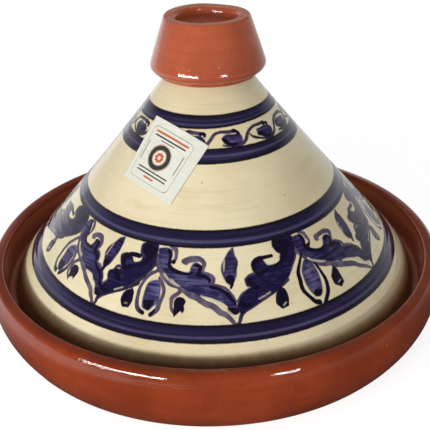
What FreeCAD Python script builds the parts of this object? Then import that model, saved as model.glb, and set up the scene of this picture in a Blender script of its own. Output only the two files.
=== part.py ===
"""Tagine pot: a heavy clay dish, a cone lid with its cup knob luted on, and a paper label on the lid.

The frame is +Z up, in millimetres, with the origin at the centre of the dish's flat foot.
Every piece but the label is turned about Z, the way it is thrown on a wheel: one outline per piece,
in the XZ half plane, then revolved. The front of the pot looks along -Y.
"""
import FreeCAD, Part
import math
import os

import Sketcher

# Driving dimensions: alias, value in millimetres or degrees, what it is.
SIZES = [
    ("axis", 0, "radius of a point on the wheel's axis"),
    ("table", 0, "height of the surface the dish stands on"),
    ("dish_radius", 150.7, "dish at its widest, the ridge below the rim"),
    ("ridge_height", 32.4, "height of that ridge"),
    ("dish_height", 41.8, "top of the dish's rim"),
    ("crest_radius", 140.5, "inner edge of the rim's top"),
    ("crest_width", 6.7, "flat of the rim's top before it is rounded"),
    ("foot_radius", 140.3, "flat of the dish's foot"),
    ("side_curve", 42, "radius of the dish's bulging side, seen in section"),
    ("wall_foot_radius", 139.5, "inner wall of the dish where it meets the ledge"),
    ("ledge_height", 20.5, "ledge that the lid sits on"),
    ("ledge_width", 13, "ledge, from the wall inwards"),
    ("basin_slope", 4, "how far the basin's wall leans in"),
    ("floor_height", 8, "inside floor of the dish"),
    ("foot_rounding", 2.5, "fillet round the foot"),
    ("ridge_rounding", 3, "fillet along the ridge"),
    ("crest_rounding", 1.6, "fillet on the rim's inner edge"),
    ("lip_rounding", 3.4, "fillet on the rim's outer edge"),
    ("ledge_rounding", 2.5, "fillets at both sides of the ledge"),
    ("floor_rounding", 8, "fillet between the basin's wall and its floor"),
    ("lid_radius", 136.5, "lid at its lower edge"),
    ("shoulder_radius", 121.9, "lid where the slope turns into the shoulder"),
    ("shoulder_height", 42.2, "height of that turn"),
    ("neck_radius", 25.95, "lid where the knob's base meets it"),
    ("neck_height", 159.4, "height of that meeting"),
    ("slope_curve", 2678, "radius of the slope's slight hollow, in section"),
    ("shoulder_curve", 75, "radius of the shoulder, in section"),
    ("lid_wall", 7, "thickness of the lid's wall"),
    ("wall_across", 5.3, "that thickness along the radius"),
    ("wall_down", 4.6, "that thickness along the axis"),
    ("lid_edge", 7.3, "width of the lid's lower edge"),
    ("lid_edge_rounding", 2.6, "fillets on the lid's lower edge"),
    ("collar_radius", 17, "stub on top of the lid that the knob is thrown over"),
    ("collar_height", 167.5, "top of the stub"),
    ("crown_height", 161.5, "top of the hollow inside the lid"),
    ("crown_curve", 60, "radius of that hollow's dome"),
    ("slip_gap", 0.2, "slip between the stub and the knob"),
    ("knob_flange_radius", 30.5, "thin base flange of the knob"),
    ("knob_flange_height", 161.6, "top of that flange"),
    ("knob_skirt_radius", 37.1, "knob's overhanging skirt before it is rounded"),
    ("knob_skirt_height", 162, "underside of the skirt"),
    ("knob_top_radius", 26.1, "outer edge of the cup"),
    ("knob_top_height", 195.1, "top of the cup"),
    ("well_radius", 18.7, "mouth of the cup's well"),
    ("well_floor_radius", 15.8, "floor of the well"),
    ("well_floor_height", 173.5, "height of the well's floor"),
    ("skirt_rounding", 4.2, "fillet under the skirt"),
    ("flange_rounding", 0.9, "fillet on the base flange"),
    ("cup_rounding", 1.4, "fillet on the outer edge of the cup"),
    ("mouth_rounding", 2.6, "fillet round the well's mouth"),
    ("well_rounding", 6.5, "fillet between the well's wall and its floor"),
    ("label_side", 41.2, "side of the square paper label"),
    ("label_azimuth", -31.1, "label's place round the lid, in degrees from the front"),
    ("label_radius", 55.0, "radius of the slope at the label's centre"),
    ("label_height", 122.5, "height of the label's centre"),
    ("label_turn", -14.8, "turn of the label in its own plane, in degrees"),
    ("label_lift", 0.05, "glue under the label"),
    ("label_thickness", 0.3, "paper of the label"),
    ("label_depth", 24, "depth of the block that trims the label square"),
]


class Size:
    """A length: its number now, and the sheet expression that keeps it live."""

    def __init__(self, number, text):
        self.number = number
        self.text = text

    def __add__(self, other):
        return Size(self.number + other.number, f"({self.text} + {other.text})")

    def __sub__(self, other):
        return Size(self.number - other.number, f"({self.text} - {other.text})")

    def __mul__(self, other):
        return Size(self.number * other.number, f"({self.text} * {other.text})")

    def __truediv__(self, other):
        return Size(self.number / other.number, f"({self.text} / {other.text})")


def make_sheet(doc):
    """Writes the driving dimensions into the document's sheet, and returns them by alias."""
    sheet = doc.addObject("Spreadsheet::Sheet", "Sizes")
    lengths = {}
    for row, (alias, number, meaning) in enumerate(SIZES, start=1):
        sheet.set(f"A{row}", alias)
        sheet.set(f"B{row}", str(number))
        sheet.setAlias(f"B{row}", alias)
        sheet.set(f"C{row}", meaning)
        lengths[alias] = Size(float(number), f"Sizes.{alias}")
    doc.recompute()
    return lengths


def origin_plane(body, role):
    """The plane of the body's own origin with that role."""
    return next(feature for feature in body.Origin.OriginFeatures if feature.Role == role)


def arc_through(start, end, radius, bulge):
    """Arc between two points; bulge is +1 when it lies to the right of the way from start to end."""
    chord = end - start
    sagitta = radius - math.sqrt(radius**2 - (chord.Length / 2) ** 2)
    right = FreeCAD.Vector(chord.y, -chord.x, 0).normalize()
    return Part.Arc(start, (start + end) / 2 + right * (sagitta * bulge), end)


def draw_outline(sketch, corners, curves):
    """Closed outline through corners, pairs of Size (radius, height).

    curves says which sides are arcs: {index of the side's first corner: (radius, bulge)}.
    """
    points = [FreeCAD.Vector(radius.number, height.number, 0) for radius, height in corners]
    starts = []
    for index, start in enumerate(points):
        end = points[(index + 1) % len(points)]
        if index in curves:
            radius, bulge = curves[index]
            side = sketch.addGeometry(arc_through(start, end, radius.number, bulge), False)
            constraint = sketch.addConstraint(Sketcher.Constraint("Radius", side, radius.number))
            sketch.setExpression(f"Constraints[{constraint}]", radius.text)
            forward = sketch.getPoint(side, 1).distanceToPoint(start) < 1e-6
            starts.append((side, 1 if forward else 2))
        else:
            side = sketch.addGeometry(Part.LineSegment(start, end), False)
            starts.append((side, 1))
    for index, (side, vertex) in enumerate(starts):
        following, following_vertex = starts[(index + 1) % len(starts)]
        link = Sketcher.Constraint("Coincident", side, 3 - vertex, following, following_vertex)
        sketch.addConstraint(link)
    for (side, vertex), lengths in zip(starts, corners):
        for direction, length in zip(("DistanceX", "DistanceY"), lengths):
            place = Sketcher.Constraint(direction, -1, 1, side, vertex, length.number)
            constraint = sketch.addConstraint(place)
            sketch.setExpression(f"Constraints[{constraint}]", length.text)


def turned_body(doc, label, corners, curves):
    """Body turned about Z from one outline; its Label is the piece's name."""
    body = doc.addObject("PartDesign::Body", label)
    body.Label = label
    sketch = body.newObject("Sketcher::SketchObject", f"{label}_outline")
    sketch.AttachmentSupport = [(origin_plane(body, "XZ_Plane"), "")]
    sketch.MapMode = "FlatFace"
    draw_outline(sketch, corners, curves)
    turn = body.newObject("PartDesign::Revolution", f"{label}_turned")
    turn.Profile = sketch
    turn.ReferenceAxis = (sketch, ["V_Axis"])
    turn.Angle = 360
    sketch.Visibility = False
    doc.recompute()
    return body


def circle_name(shape, radius, height):
    """Name of the shape's circular edge about Z with that radius and height."""
    for number, edge in enumerate(shape.Edges, start=1):
        if not edge.Degenerated and isinstance(edge.Curve, Part.Circle):
            near_radius = abs(edge.Curve.Radius - radius.number) < 1e-3
            if near_radius and abs(edge.Curve.Center.z - height.number) < 1e-3:
                return f"Edge{number}"
    raise ValueError(f"no circular edge of radius {radius.number} at height {height.number}")


def round_edges(body, name, rounding, circles):
    """Fillets the body's circular edges, given as pairs (radius, height)."""
    base = body.Tip
    fillet = body.newObject("PartDesign::Fillet", name)
    fillet.Base = (base, [circle_name(base.Shape, *circle) for circle in circles])
    fillet.setExpression("Radius", rounding.text)
    body.Document.recompute()


def make_dish(doc, size):
    """Flat-footed dish with a sloping rim outside and a ledge for the lid inside."""
    foot = (size["foot_radius"], size["table"])
    ridge = (size["dish_radius"], size["ridge_height"])
    crest_outside = (size["crest_radius"] + size["crest_width"], size["dish_height"])
    crest_inside = (size["crest_radius"], size["dish_height"])
    wall_foot = (size["wall_foot_radius"], size["ledge_height"])
    ledge_edge = (size["wall_foot_radius"] - size["ledge_width"], size["ledge_height"])
    floor_edge = (ledge_edge[0] - size["basin_slope"], size["floor_height"])
    floor_centre = (size["axis"], size["floor_height"])
    foot_centre = (size["axis"], size["table"])
    corners = [
        foot_centre,
        foot,
        ridge,
        crest_outside,
        crest_inside,
        wall_foot,
        ledge_edge,
        floor_edge,
        floor_centre,
    ]
    body = turned_body(doc, "dish", corners, {1: (size["side_curve"], +1)})
    round_edges(body, "lip_fillet", size["lip_rounding"], [crest_outside])
    round_edges(body, "crest_fillet", size["crest_rounding"], [crest_inside])
    round_edges(body, "ridge_fillet", size["ridge_rounding"], [ridge])
    round_edges(body, "foot_fillet", size["foot_rounding"], [foot])
    round_edges(body, "ledge_fillet", size["ledge_rounding"], [wall_foot, ledge_edge])
    round_edges(body, "floor_fillet", size["floor_rounding"], [floor_edge])
    return body


def make_lid_cone(doc, size):
    """Hollow cone with a bulging shoulder, closed at the top by the stub that carries the knob."""
    edge_outside = (size["lid_radius"], size["ledge_height"])
    shoulder = (size["shoulder_radius"], size["shoulder_height"])
    neck = (size["neck_radius"], size["neck_height"])
    collar_foot = (size["collar_radius"], size["neck_height"])
    collar_top = (size["collar_radius"], size["collar_height"])
    collar_centre = (size["axis"], size["collar_height"])
    crown = (size["axis"], size["crown_height"])
    inner_neck = (neck[0] - size["wall_across"], neck[1] - size["wall_down"])
    inner_shoulder = (shoulder[0] - size["wall_across"], shoulder[1] - size["wall_down"])
    edge_inside = (size["lid_radius"] - size["lid_edge"], size["ledge_height"])
    corners = [
        edge_outside,
        shoulder,
        neck,
        collar_foot,
        collar_top,
        collar_centre,
        crown,
        inner_neck,
        inner_shoulder,
        edge_inside,
    ]
    curves = {
        0: (size["shoulder_curve"], +1),
        1: (size["slope_curve"], -1),
        6: (size["crown_curve"], -1),
        7: (size["slope_curve"] + size["lid_wall"], +1),
        8: (size["shoulder_curve"] - size["lid_wall"], -1),
    }
    body = turned_body(doc, "lid_cone", corners, curves)
    edges = [edge_outside, edge_inside]
    round_edges(body, "edge_fillet", size["lid_edge_rounding"], edges)
    return body


def make_lid_knob(doc, size):
    """Cup-shaped knob: a thin flange on the cone, an overhanging skirt and a well in the top."""
    bore = size["collar_radius"] + size["slip_gap"]
    ceiling = size["collar_height"] + size["slip_gap"]
    flange_foot = (size["knob_flange_radius"], size["neck_height"])
    flange_top = (size["knob_flange_radius"], size["knob_flange_height"])
    skirt = (size["knob_skirt_radius"], size["knob_skirt_height"])
    cup_edge = (size["knob_top_radius"], size["knob_top_height"])
    mouth = (size["well_radius"], size["knob_top_height"])
    well_edge = (size["well_floor_radius"], size["well_floor_height"])
    well_centre = (size["axis"], size["well_floor_height"])
    ceiling_centre = (size["axis"], ceiling)
    corners = [
        (bore, size["neck_height"]),
        flange_foot,
        flange_top,
        skirt,
        cup_edge,
        mouth,
        well_edge,
        well_centre,
        ceiling_centre,
        (bore, ceiling),
    ]
    body = turned_body(doc, "lid_knob", corners, {})
    round_edges(body, "skirt_fillet", size["skirt_rounding"], [skirt])
    round_edges(body, "flange_fillet", size["flange_rounding"], [flange_foot])
    round_edges(body, "cup_fillet", size["cup_rounding"], [cup_edge])
    round_edges(body, "mouth_fillet", size["mouth_rounding"], [mouth])
    round_edges(body, "well_fillet", size["well_rounding"], [well_edge])
    return body


def make_paper_label(doc, size):
    """Square sheet that follows the cone: a thin skin over the slope, trimmed by a square block."""
    slope_foot = (size["shoulder_radius"], size["shoulder_height"])
    slope_top = (size["neck_radius"], size["neck_height"])
    back = size["label_lift"]
    face = size["label_lift"] + size["label_thickness"]

    def lifted(point, distance):
        """The point moved off the slope, along the slope's normal."""
        outwards = distance * size["wall_across"] / size["lid_wall"]
        upwards = distance * size["wall_down"] / size["lid_wall"]
        return (point[0] + outwards, point[1] + upwards)

    corners = [
        lifted(slope_foot, back),
        lifted(slope_foot, face),
        lifted(slope_top, face),
        lifted(slope_top, back),
    ]
    curves = {1: (size["slope_curve"] - face, -1), 3: (size["slope_curve"] - back, +1)}
    skin = turned_body(doc, "label_skin", corners, curves)

    block = doc.addObject("Part::Box", "label_block")
    sides = {"Length": size["label_side"], "Width": size["label_depth"], "Height": size["label_side"]}
    for name, length in sides.items():
        block.setExpression(name, length.text)
    middle = FreeCAD.Vector(*(length.number / 2 for length in sides.values()))
    run = slope_foot[0] - slope_top[0]
    rise = slope_top[1] - slope_foot[1]
    lean = math.degrees(math.atan2(run.number, rise.number))
    swing = FreeCAD.Rotation(FreeCAD.Vector(0, 0, 1), size["label_azimuth"].number)
    tilt = FreeCAD.Rotation(FreeCAD.Vector(1, 0, 0), -lean)
    turn = FreeCAD.Rotation(FreeCAD.Vector(0, -1, 0), size["label_turn"].number)
    place = FreeCAD.Vector(0, -size["label_radius"].number, size["label_height"].number)
    centred = FreeCAD.Placement(-middle, FreeCAD.Rotation())
    block.Placement = FreeCAD.Placement(swing.multVec(place), swing * tilt * turn) * centred

    label = doc.addObject("Part::Common", "paper_label")
    label.Label = "paper_label"
    label.Base = skin
    label.Tool = block
    doc.recompute()
    return label


def check(doc, pieces):
    """Stops if any object failed, or if a piece isn't one valid solid."""
    for item in doc.Objects:
        if "Invalid" in item.State or "Error" in item.State:
            raise RuntimeError(f"{item.Label} did not compute: {item.State}")
    for piece in pieces:
        shape = piece.Shape
        if shape.isNull() or not shape.isValid() or len(shape.Solids) != 1:
            raise RuntimeError(f"{piece.Label} is not one valid solid")
        print(f"{piece.Label}: {shape.Volume / 1000:.1f} cm3, {shape.BoundBox}")


def main():
    doc = FreeCAD.newDocument("tagine_pot")
    size = make_sheet(doc)
    pieces = [
        make_dish(doc, size),
        make_lid_cone(doc, size),
        make_lid_knob(doc, size),
        make_paper_label(doc, size),
    ]
    doc.recompute()
    check(doc, pieces)
    os.makedirs("parts", exist_ok=True)
    for piece in pieces:
        piece.Shape.exportStep(f"parts/{piece.Label}.step")


main()
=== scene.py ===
"""Tagine pot: how it looks.

Four pieces stand in the CAD frame: a glazed clay dish, a cream lid painted in cobalt blue, the lid's
knob and a paper label. Every shape but the label is turned from an outline of (radius, height) points;
the label is a flat sheet wrapped round the cone. Lengths are in millimetres until a mesh is made. Turns
are in radians from the front, -Y, towards +X.
"""

import math
import random

import bpy
import numpy as np
from mathutils import Matrix, Vector


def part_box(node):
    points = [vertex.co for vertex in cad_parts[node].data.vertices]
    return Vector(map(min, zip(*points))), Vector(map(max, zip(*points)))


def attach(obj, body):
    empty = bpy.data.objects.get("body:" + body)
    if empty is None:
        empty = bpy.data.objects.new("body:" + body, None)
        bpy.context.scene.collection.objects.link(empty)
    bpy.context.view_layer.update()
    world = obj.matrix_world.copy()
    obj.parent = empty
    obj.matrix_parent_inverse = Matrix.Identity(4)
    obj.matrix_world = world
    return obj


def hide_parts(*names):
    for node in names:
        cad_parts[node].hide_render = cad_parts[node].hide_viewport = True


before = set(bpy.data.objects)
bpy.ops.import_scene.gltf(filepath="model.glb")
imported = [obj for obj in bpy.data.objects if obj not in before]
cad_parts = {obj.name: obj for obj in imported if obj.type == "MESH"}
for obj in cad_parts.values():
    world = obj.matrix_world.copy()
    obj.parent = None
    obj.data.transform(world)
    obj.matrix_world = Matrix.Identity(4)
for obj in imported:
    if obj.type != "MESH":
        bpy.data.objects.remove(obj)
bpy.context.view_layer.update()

MM = 0.001
TAU = 2 * math.pi
FAR = 99.0
CURVE_STEPS = 6


def node_box(node):
    """Lowest and highest corner of a CAD node, in millimetres."""
    low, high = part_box(node)
    return Vector(low) / MM, Vector(high) / MM


# ---- sizes, from the frame: radii and heights

DISH_HIGH = node_box("dish")[1]
LID_LOW, LID_HIGH = node_box("lid_cone")
KNOB_LOW, KNOB_HIGH = node_box("lid_knob")

RIDGE = DISH_HIGH.x
RIM_TOP = DISH_HIGH.z
LEDGE = LID_LOW.z
STUB_TOP = LID_HIGH.z
NECK = KNOB_LOW.z
KNOB_TOP = KNOB_HIGH.z
SKIRT = KNOB_HIGH.x + 1.55

RIDGE_HEIGHT = RIM_TOP - 9.4
CREST = RIDGE - 10.2
LEDGE_OUTSIDE = CREST - 1
LEDGE_INSIDE = LEDGE_OUTSIDE - 13
FLOOR = 8

LID_EDGE = LID_HIGH.x + 1.75
LID_LIP = 7.3
SHOULDER = (RIDGE - 28.8, LEDGE + 21.7)
NECK_RADIUS = SKIRT - 11.15
STUB_RADIUS = NECK_RADIUS - 8.95
LID_WALL = (5.3, 4.6)
SLOPE_HOLLOW = 1.07
SHOULDER_BULGE = 1.14
CROWN = STUB_TOP - 6


# ---- outlines


def side_points(start, end, bulge):
    """Fine points from start to end; bulge is how far the middle stands to the right of the way."""
    start, end = np.array(start, float), np.array(end, float)
    chord = end - start
    length = np.hypot(*chord)
    share = np.linspace(0, 1, max(3, int(length / 0.1)))[:, None]
    right = np.array([chord[1], -chord[0]]) / length
    return start + chord * share + right * 4 * bulge * share * (1 - share)


def way_along(points):
    """Distance along a polyline at each of its points."""
    steps = np.hypot(*np.diff(points, axis=0).T)
    return np.concatenate([[0], np.cumsum(steps)])


def trimmed(points, start, end):
    """The polyline without its first start and last end millimetres."""
    way = way_along(points)
    inside = (way > start) & (way < way[-1] - end)
    ends = [[np.interp(at, way, points[:, axis]) for axis in (0, 1)] for at in (start, way[-1] - end)]
    return np.vstack([ends[0], points[inside], ends[1]])


def bend(before, after):
    """Directions into and out of the corner between two sides, and the angle it turns by."""
    into, out = before[-1] - before[-2], after[1] - after[0]
    into, out = into / np.hypot(*into), out / np.hypot(*out)
    return into, out, math.acos(max(-1, min(1, float(into @ out))))


def eased_corner(before, after, rounding):
    """Round stretch between two trimmed sides that met at a corner."""
    into, out, turn = bend(before, after)
    handle = 4 / 3 * math.tan(turn / 4) * rounding
    share = np.linspace(0, 1, 24)[1:-1, None]
    first, second = before[-1] + into * handle, after[0] - out * handle
    rest = 1 - share
    return (before[-1] * rest**3 + 3 * first * rest**2 * share
            + 3 * second * rest * share**2 + after[0] * share**3)


def outline(corners):
    """Fine points of a turned outline. A corner is (radius, height, rounding, bulge of the next side)."""
    sides = [side_points(a[:2], b[:2], a[3]) for a, b in zip(corners, corners[1:])]
    trims = [0, 0]
    for corner, before, after in zip(corners[1:-1], sides, sides[1:]):
        trims.insert(-1, corner[2] * math.tan(bend(before, after)[2] / 2))
    sides = [trimmed(side, start, end) for side, start, end in zip(sides, trims, trims[1:])]
    parts = [sides[0]]
    for corner, side in zip(corners[1:-1], sides[1:]):
        if corner[2] > 0:
            parts.append(eased_corner(parts[-1], side, corner[2]))
        parts.append(side)
    points = np.vstack(parts)
    keep = np.concatenate([[True], np.hypot(*np.diff(points, axis=0).T) > 1e-6])
    return points[keep]


# A new ring is turned where the outline has bent by this much; the widest rings have this many columns.
SHARPEST_BEND = math.radians(8)
COLUMNS = 832


def ring_places(points, spacing):
    """Indices of the points to turn into rings: closer where the outline bends, at most spacing apart."""
    way = way_along(points)
    steps = np.diff(points, axis=0)
    heading = np.unwrap(np.arctan2(steps[:, 1], steps[:, 0]))
    chosen, turned = [0], 0.0
    for index in range(1, len(points) - 1):
        turned += abs(heading[index] - heading[index - 1])
        long_enough = way[index] - way[chosen[-1]] >= spacing(way[index])
        if long_enough or turned >= SHARPEST_BEND:
            chosen.append(index)
            turned = 0.0
    chosen.append(len(points) - 1)
    return chosen


# ---- turned meshes


def ring_counts(rings):
    """Vertices in each ring: one where it closes to a point on the axis."""
    return [1 if radius < 1e-6 else columns for radius, _, _, columns in rings]


def stitch(low, low_count, high, high_count):
    """Faces between two neighbouring rings, whose counts are equal, doubled, halved or 1."""
    if low_count < high_count:
        return [face[::-1] for face in stitch(high, high_count, low, low_count)]
    if high_count == 1:
        return [(low + k, low + (k + 1) % low_count, high) for k in range(low_count)]
    faces = []
    for k in range(high_count):
        above, above_next = high + k, high + (k + 1) % high_count
        if low_count == high_count:
            faces.append((low + k, low + (k + 1) % low_count, above_next, above))
        else:
            a, b, c = low + 2 * k, low + 2 * k + 1, low + (2 * k + 2) % low_count
            faces += [(a, b, above), (b, above_next, above), (b, c, above_next)]
    return faces


def turned_faces(rings):
    """Faces of the stacked rings, in the order of turned_points."""
    counts = ring_counts(rings)
    starts = np.concatenate([[0], np.cumsum(counts)]).astype(int).tolist()
    faces = []
    for number in range(len(rings) - 1):
        faces += stitch(starts[number], counts[number], starts[number + 1], counts[number + 1])
    return faces


def columns_for(radius, finest, longest):
    """Columns for a ring: finest, halved while they stay closer than longest."""
    columns = finest
    while columns % 2 == 0 and TAU * radius / (columns / 2) < longest:
        columns //= 2
    return columns


def settle_columns(columns):
    """Lets neighbouring rings differ by one halving at most."""
    for way in (range(1, len(columns)), range(len(columns) - 2, -1, -1)):
        step = -1 if way.step == 1 else 1
        for index in way:
            columns[index] = max(columns[index], columns[index + step] // 2)
    return columns


def make_rings(points, spacing, finest, longest):
    """Rings (radius, height, way, columns) along an outline; longest is the widest column at a way."""
    way = way_along(points)
    chosen = ring_places(points, spacing)
    columns = [columns_for(points[i][0], finest, longest(way[i])) for i in chosen]
    columns = settle_columns(columns)
    return [(points[i][0], points[i][1], way[i], n) for i, n in zip(chosen, columns)]


def profile_normals(rings):
    """Outward (radius, height) normal at every ring."""
    places = np.array([ring[:2] for ring in rings])
    heading = np.gradient(places, axis=0)
    heading /= np.hypot(*heading.T)[:, None]
    normals = np.stack([heading[:, 1], -heading[:, 0]], 1)
    for end in (0, -1):
        if places[end][0] < 1e-6:
            normals[end] = (0, math.copysign(1, normals[end][1]))
    return normals


def mesh_object(name, vertices, faces, attributes):
    """Smooth mesh object in metres from vertices in millimetres, with its point attributes."""
    mesh = bpy.data.meshes.new(name)
    mesh.from_pydata((np.asarray(vertices) * MM).tolist(), [], faces)
    for label, numbers in attributes.items():
        layer = mesh.attributes.new(label, "FLOAT", "POINT")
        layer.data.foreach_set("value", np.asarray(numbers, np.float32))
    mesh.polygons.foreach_set("use_smooth", [True] * len(mesh.polygons))
    mesh.update()
    piece = bpy.data.objects.new(name, mesh)
    bpy.context.scene.collection.objects.link(piece)
    return piece


def smooth_step(x, low, high):
    """0 below low, 1 above high, easing in between."""
    share = np.clip((x - low) / (high - low), 0, 1)
    return share * share * (3 - 2 * share)


def hump(x, low, high, ease):
    """1 between low and high, easing to 0 over ease outside."""
    return smooth_step(x, low - ease, low) * (1 - smooth_step(x, high, high + ease))


def harmonics(turn, waves):
    """Sum of cosines round the pot; a wave is (amplitude, count, place of its crest in degrees)."""
    total = np.zeros_like(turn)
    for amplitude, count, crest in waves:
        total += amplitude * np.cos(count * (turn - math.radians(crest)))
    return total


def turned_vertices(points, offset):
    """Vertices at the points' places, moved outwards by offset."""
    radius = points["radius"] + offset * points["normal"][:, 0]
    height = points["height"] + offset * points["normal"][:, 1]
    return np.stack([radius * np.sin(points["turn"]), -radius * np.cos(points["turn"]), height], 1)


def turned_points(rings):
    """Every vertex of the rings (radius, height, way, columns), as arrays by name."""
    counts = ring_counts(rings)
    points = {"turn": np.concatenate([np.arange(count) * TAU / count - math.pi for count in counts])}
    for name, numbers in zip(("radius", "height", "way"), zip(*rings)):
        points[name] = np.repeat(np.array(numbers, float), counts)
    points["normal"] = np.repeat(profile_normals(rings), counts, axis=0)
    return points


def throwing_rings(way, turn, spacing, depth):
    """Low spiral ridges that fingers leave in clay on a wheel."""
    phase = way / spacing * TAU + turn
    uneven = 0.6 + 0.4 * np.sin(way / (spacing * 3.7) + 1.3)
    return depth * uneven * (np.sin(phase) + 0.35 * np.sin(1.7 * phase + 0.8))


# ---- the dish


def dish_outline():
    """From the middle of the foot, round the rim and back to the middle of the basin's floor."""
    return outline([
        (0, 1.1, 0, 0),
        (RIDGE - 30, 1.1, 3, 0),
        (RIDGE - 27, 0, 1.5, 0),
        (RIDGE - 10.45, 0, 2.5, 3.6),
        (RIDGE - 0.05, RIDGE_HEIGHT, 2.2, 0.25),
        (CREST + 6.7, RIM_TOP, 3.6, 0),
        (CREST, RIM_TOP, 1.8, 0),
        (LEDGE_OUTSIDE, LEDGE, 2.5, 0),
        (LEDGE_INSIDE, LEDGE, 2.5, 0),
        (LEDGE_INSIDE - 4, FLOOR, 8, 0),
        (0, FLOOR, 0, 0),
    ])


def make_dish():
    """Thrown dish: a foot turned slightly hollow, a bulging side, a ridge, a rounded rim and a ledge."""
    profile = dish_outline()
    rings = make_rings(profile, lambda way: 2.0, COLUMNS, lambda way: 3.0)
    rim_way = way_along(profile)[np.argmax(profile[:, 1])]
    points = turned_points(rings)
    turn, way = points["turn"], points["way"]
    radius, height = points["radius"], points["height"]
    outside = hump(way, RIDGE - 6, rim_way, 4)
    basin = smooth_step(way, rim_way + 46, rim_way + 60)
    under = 1 - smooth_step(way, RIDGE - 33, RIDGE - 30)
    slump = harmonics(turn, [(0.45, 2, 40), (0.28, 3, -15), (0.14, 5, 80), (0.07, 11, 20)])
    offset = outside * slump * hump(height, 6, RIM_TOP, 5)
    offset += outside * throwing_rings(way, turn, 5.8, 0.03)
    offset += basin * smooth_step(radius, 3, 14) * throwing_rings(way, turn, 8.5, 0.30)
    offset += under * smooth_step(radius, 3, 10) * throwing_rings(way, turn, 2.9, 0.09)
    glaze_line = 2.2 + harmonics(turn, [(0.7, 7, 10), (0.5, 17, 3), (0.4, 2, 120)])
    bare = np.where(way < RIDGE - 14, 1, 1 - smooth_step(height - glaze_line, -0.5, 0.5))
    # The basin's inside, which the material paints lighter: painted light falling into it.
    painted_light_inside = smooth_step(way, rim_way + 5, rim_way + 9)
    attributes = {"clay": bare, "way": way, "painted_light_inside": painted_light_inside}
    return mesh_object("dish_bowl", turned_vertices(points, offset), turned_faces(rings), attributes)


# ---- the lid


def lid_outline():
    """From the middle of the hollow, round the lower edge and up the outside to the stub under the knob."""
    across, down = LID_WALL
    return outline([
        (0, CROWN, 0, -1.0),
        (NECK_RADIUS - across, NECK - down, 5, SLOPE_HOLLOW),
        (SHOULDER[0] - across, SHOULDER[1] - down, 0, -0.8),
        (LID_EDGE - LID_LIP, LEDGE, 2.6, 0),
        (LID_EDGE, LEDGE, 2.6, SHOULDER_BULGE),
        (*SHOULDER, 0, -SLOPE_HOLLOW),
        (NECK_RADIUS, NECK, 0, 0),
        (STUB_RADIUS, NECK, 0, 0),
        (STUB_RADIUS, STUB_TOP, 0, 0),
        (0, STUB_TOP, 0, 0),
    ])


LID_OUTLINE = lid_outline()
LID_WAY = way_along(LID_OUTLINE)
NECK_WAY = LID_WAY[np.argmin(np.hypot(LID_OUTLINE[:, 0] - NECK_RADIUS, LID_OUTLINE[:, 1] - NECK))]
EDGE_WAY = LID_WAY[np.argmax(LID_OUTLINE[:, 0])]


def slope_place(slant):
    """Radius and height on the lid's outer face, slant millimetres down from the neck."""
    way = NECK_WAY - np.asarray(slant, float)
    return np.interp(way, LID_WAY, LID_OUTLINE[:, 0]), np.interp(way, LID_WAY, LID_OUTLINE[:, 1])


def lid_wobble(turn, slant):
    """How far the hand-thrown outer face stands off the true cone."""
    free = smooth_step(slant, 1, 14) * (1 - smooth_step(slant, 150, 170))
    slump = harmonics(turn, [(0.40, 2, 25), (0.25, 3, 70), (0.10, 7, -20)]) * np.cos(slant / 61)
    return free * (slump + throwing_rings(slant, turn, 6.4, 0.07))


# Along an uneven line this far down the slope the cream turns brown and then near black: partly thinner
# glaze, partly painted shade of the gap under the dish's rim.
GLAZE_END_AND_SHADE = 160
GLAZE_AND_SHADE_WAVES = [(1.6, 1, 90), (1.6, 2, 95), (0.4, 5, 40), (0.2, 12, 0)]
# Stretches of the slope that are painted.
VINE_ZONE = (18, 51)
FRIEZE_ZONE = (84, 153)


def lid_grid(vine, frieze, plain, hidden):
    """The mesh's cell size, in millimetres, at a way on the lid: small where it is painted."""
    def cell(way):
        slant = NECK_WAY - way
        if way < EDGE_WAY - 4 or slant < 0:
            return hidden
        if FRIEZE_ZONE[0] < slant < FRIEZE_ZONE[1]:
            return frieze
        return vine if VINE_ZONE[0] < slant < VINE_ZONE[1] else plain

    return cell


def make_lid():
    """Thrown cone with its painting held as distances to the brushwork at every vertex."""
    rings = make_rings(LID_OUTLINE, lid_grid(0.72, 1, 1.8, 3.6), COLUMNS, lid_grid(1, 1, 2.4, 5))
    points = turned_points(rings)
    slant = NECK_WAY - points["way"]
    outside = (points["way"] > EDGE_WAY - 1) & (slant > -0.5)
    wobble = np.where(outside, lid_wobble(points["turn"], slant), 0)
    inside = 1 - smooth_step(points["way"], EDGE_WAY - 14, EDGE_WAY - 10)
    ridges = throwing_rings(points["way"], points["turn"], 8, 0.22)
    offset = wobble + inside * smooth_step(points["radius"], 5, 15) * ridges
    painting = paint_lid(points["turn"], slant, points["radius"], outside)
    edge_line = EDGE_WAY - 6 + harmonics(points["turn"], [(1.0, 5, 30), (0.7, 13, 0)])
    painting["clay"] = 1 - smooth_step(points["way"] - edge_line, -0.8, 0.8)
    painting["way"] = points["way"]
    # How far below that line a vertex lies; the material paints the thin glaze and the gap's painted shade
    # from it.
    painting["edge"] = slant - GLAZE_END_AND_SHADE - harmonics(points["turn"], GLAZE_AND_SHADE_WAVES)
    return mesh_object("lid_shell", turned_vertices(points, offset), turned_faces(rings), painting)


# ---- brushwork on the lid


def smooth_curve(points, closed=False):
    """Fine points of a curve through the given ones; a point given twice makes a corner."""
    points = np.array(points, float)
    if closed:
        padded = np.vstack([points[-1:], points, points[:2]])
    else:
        padded = np.vstack([points[:1], points, points[-1:]])
    share = (np.arange(CURVE_STEPS) / CURVE_STEPS)[:, None]
    parts = []
    for a, b, c, d in zip(padded, padded[1:], padded[2:], padded[3:]):
        parts.append(b + 0.5 * share * (c - a) + share**2 * (a - 2.5 * b + 2 * c - 0.5 * d)
                     + share**3 * (1.5 * b - 0.5 * a - 1.5 * c + 0.5 * d))
    parts.append(padded[-2:-1])
    return np.vstack(parts)


# How far from a stroke its distance is kept, and the ink above which a thin stroke is a dark pool.
REACH = 3.0
DARKEST_LINE = 0.8


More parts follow.
